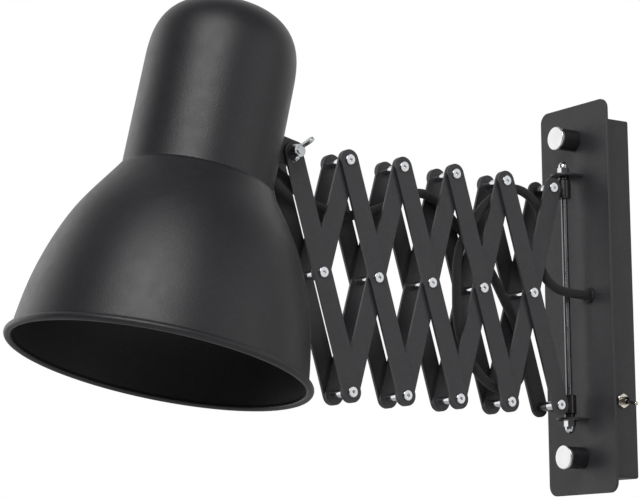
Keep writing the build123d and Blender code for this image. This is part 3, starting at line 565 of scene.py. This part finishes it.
def cord_piece(name, first, last):
    """The tube between two rings, closed by a disc at each end, with its braid's own UVs."""
    sides = CORD_SIDES + 1
    count = last - first + 1
    points = tube[first:last + 1].reshape(-1, 3)
    index = np.arange(count * sides).reshape(count, sides)
    mesh = bpy.data.meshes.new(name)
    mesh.from_pydata(points.tolist(), [], quads_of(index))
    across = np.tile(np.arange(sides) * YARNS_ROUND / CORD_SIDES, count)
    down = np.repeat(where[first:last + 1] / yarn_width, sides)
    yarns = mesh.uv_layers.new(name="yarns")
    corners = np.zeros(len(mesh.loops), np.int32)
    mesh.loops.foreach_get("vertex_index", corners)
    yarns.data.foreach_set("uv", np.c_[across[corners], down[corners]].astype(np.float32).ravel())
    work = bmesh.new()
    work.from_mesh(mesh)
    bmesh.ops.remove_doubles(work, verts=work.verts, dist=1e-7)
    ends = [edge for edge in work.edges if edge.is_boundary]
    bmesh.ops.holes_fill(work, edges=ends, sides=CORD_SIDES + 2)
    bmesh.ops.recalc_face_normals(work, faces=work.faces)
    work.to_mesh(mesh)
    work.free()
    mesh.shade_smooth()
    mesh.set_sharp_from_angle(angle=math.radians(50))
    piece = bpy.data.objects.new(name, mesh)
    mesh.materials.append(cord_cover)
    scene.collection.objects.link(piece)
    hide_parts("power_cord")
    return piece


# A stretch passes one pivot between the two bodies that the pivot joins and is left where it lies,
# or rides one body and is attached to it. Each has its name, its bodies and the route points that
# it runs between.
END = len(route) - 1
STRETCHES = [
    ("cord_at_rod", "wall_unit", "swivel", 0.0, 4.0),
    ("cord_top_5", "swivel", "inner_bars_4", 4.0, 7.5),
    ("cord_bay_4", "inner_bars_4", "outer_bars_4", 7.5, 10.0),
    ("cord_top_4", "outer_bars_4", "inner_bars_3", 10.0, 12.5),
    ("cord_bay_3", "inner_bars_3", "outer_bars_3", 12.5, 18.0),
    ("cord_loop", "outer_bars_3", None, 18.0, 29.0),
    ("cord_top_3", "outer_bars_3", "inner_bars_2", 29.0, 31.0),
    ("cord_bay_2", "inner_bars_2", "outer_bars_2", 31.0, 33.0),
    ("cord_top_2", "outer_bars_2", "inner_bars_1", 33.0, 34.0),
    ("cord_bay_1", "inner_bars_1", "outer_bars_1", 34.0, 35.0),
    ("cord_top_1", "outer_bars_1", "inner_bars_0", 35.0, 36.0),
    ("cord_bay_0", "inner_bars_0", "outer_bars_0", 36.0, 37.5),
    ("cord_to_neck", "outer_bars_0", "head", 37.5, 39.2),
    ("cord_in_neck", "head", None, 39.2, END),
]
route_points = np.array(route) / 1000


def ring_at(number):
    """The ring nearest to a place on the route, counted in route points."""
    low = min(int(number), END - 1)
    spot = route_points[low] * (1 - number + low) + route_points[low + 1] * (number - low)
    window = slice(int(rings * max(number - 3, 0) / END), int(rings * min(number + 3, END) / END))
    nearest = np.linalg.norm(path[window] - spot, axis=1).argmin()
    return window.start + int(nearest)


for name, body_a, body_b, start, stop in STRETCHES:
    first = 0 if start == 0.0 else ring_at(start)
    last = rings - 1 if stop == END else ring_at(stop)
    piece = cord_piece(name, first, last)
    if body_b is None:
        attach(piece, body_a)
    else:
        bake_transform(piece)


# ---- Floor and light ----
# A plain pale floor under the lamp. One broad soft lamp stands high in front and to the left, two
# weaker ones at the sides, and the surroundings glow mostly from behind, as in a studio tent.
def lamp(name, position, aim, width, height, radiance):
    """Area lamp of a given brightness: its power is pi * area * radiance."""
    light = bpy.data.lights.new(name, "AREA")
    light.shape = "RECTANGLE"
    light.size, light.size_y = width, height
    light.energy = math.pi * width * height * radiance
    piece = bpy.data.objects.new(name, light)
    facing = (Vector(aim) - Vector(position)).to_track_quat("-Z", "Y").to_matrix().to_4x4()
    piece.matrix_world = Matrix.Translation(position) @ facing
    scene.collection.objects.link(piece)


CAMERA_AZIMUTH = 54.757
AIM = (0.0, -0.25, 0.02)


def from_camera(turn, raise_by, distance):
    """A place round the lamp: degrees to the right of the camera, degrees up, metres away."""
    azimuth = math.radians(CAMERA_AZIMUTH + turn)
    up = math.radians(raise_by)
    flat = distance * math.cos(up)
    return (AIM[0] + flat * math.sin(azimuth), AIM[1] - flat * math.cos(azimuth),
            AIM[2] + distance * math.sin(up))


lamp("key_lamp", from_camera(-13, 36, 1.7), AIM, 1.3, 1.2, 4.6)
lamp("right_lamp", from_camera(66, 12, 1.9), AIM, 2.0, 1.9, 0.85)
lamp("left_lamp", from_camera(-118, 8, 1.9), AIM, 1.6, 1.9, 0.9)

floor_material, floor_place = new_material("pale_floor")
seen = add(floor_material, "ShaderNodeLightPath")
paper = add(floor_material, "ShaderNodeBsdfDiffuse", None, {"Color": linear("#E9E9E9")})
glow = add(floor_material, "ShaderNodeEmission", None, {
    "Color": linear("#F4F4F4"), "Strength": 0.45})
both = add(floor_material, "ShaderNodeAddShader", None, {0: paper.outputs[0], 1: glow.outputs[0]})
chosen = add(floor_material, "ShaderNodeMixShader", None, {
    0: seen.outputs["Is Camera Ray"], 1: paper.outputs[0], 2: both.outputs[0]})
add(floor_material, "ShaderNodeOutputMaterial", None, {"Surface": chosen.outputs[0]})
FLOOR = -0.9
FLOOR_REACH = 4.0
floor_grid = np.array([[(x, y, FLOOR) for x in (-FLOOR_REACH, FLOOR_REACH)]
                       for y in (-FLOOR_REACH, FLOOR_REACH)])
floor = skin("pale_floor", floor_grid, floor_material, closed=False)

world = bpy.data.worlds.new("white_surroundings")
scene.world = world
world.use_nodes = True
world.node_tree.nodes.clear()
rays = add(world, "ShaderNodeLightPath")
sky = add(world, "ShaderNodeTexCoord").outputs["Generated"]
behind = from_camera(180, 0, 1.0)
toward_back = (behind[0] - AIM[0], behind[1] - AIM[1], 0.0)
facing = add(world, "ShaderNodeVectorMath", {"operation": "DOT_PRODUCT"}, {0: sky, 1: toward_back})
tent = add(world, "ShaderNodeMapRange", {"interpolation_type": "SMOOTHSTEP"}, {
    "Value": facing.outputs["Value"], "From Min": 0.05, "From Max": 0.75,
    "To Min": 0.05, "To Max": 0.9})
level = add(world, "ShaderNodeMix", {"data_type": "FLOAT"}, {
    0: rays.outputs["Is Camera Ray"], 2: tent.outputs[0], 3: 1.0})
white = add(world, "ShaderNodeBackground", None, {
    "Color": linear("#FFFFFF"), "Strength": level.outputs[0]})
add(world, "ShaderNodeOutputWorld", None, {"Surface": white.outputs[0]})


# ---- Camera ----
# The camera looks up a little at the lamp from the front and the right, with a long lens.
eye = bpy.data.cameras.new("camera")
eye.sensor_fit = "HORIZONTAL"
eye.sensor_width = 36.0
eye.lens = 126.39
eye.clip_start, eye.clip_end = 0.05, 20.0
camera = bpy.data.objects.new("camera", eye)
STANDPOINT = (1.27826, -1.18013, -0.23802)
RIGHT = (0.57588464, 0.81748562, -0.00861089)
ABOVE = (0.13632324, -0.08563808, 0.98695597)
BACK = (0.80608489, -0.56954665, -0.16075994)
view = Matrix((RIGHT, ABOVE, BACK)).transposed().to_4x4()
camera.matrix_world = Matrix.Translation(STANDPOINT) @ view
scene.collection.objects.link(camera)
scene.camera = camera
scene.view_settings.view_transform = "Standard"
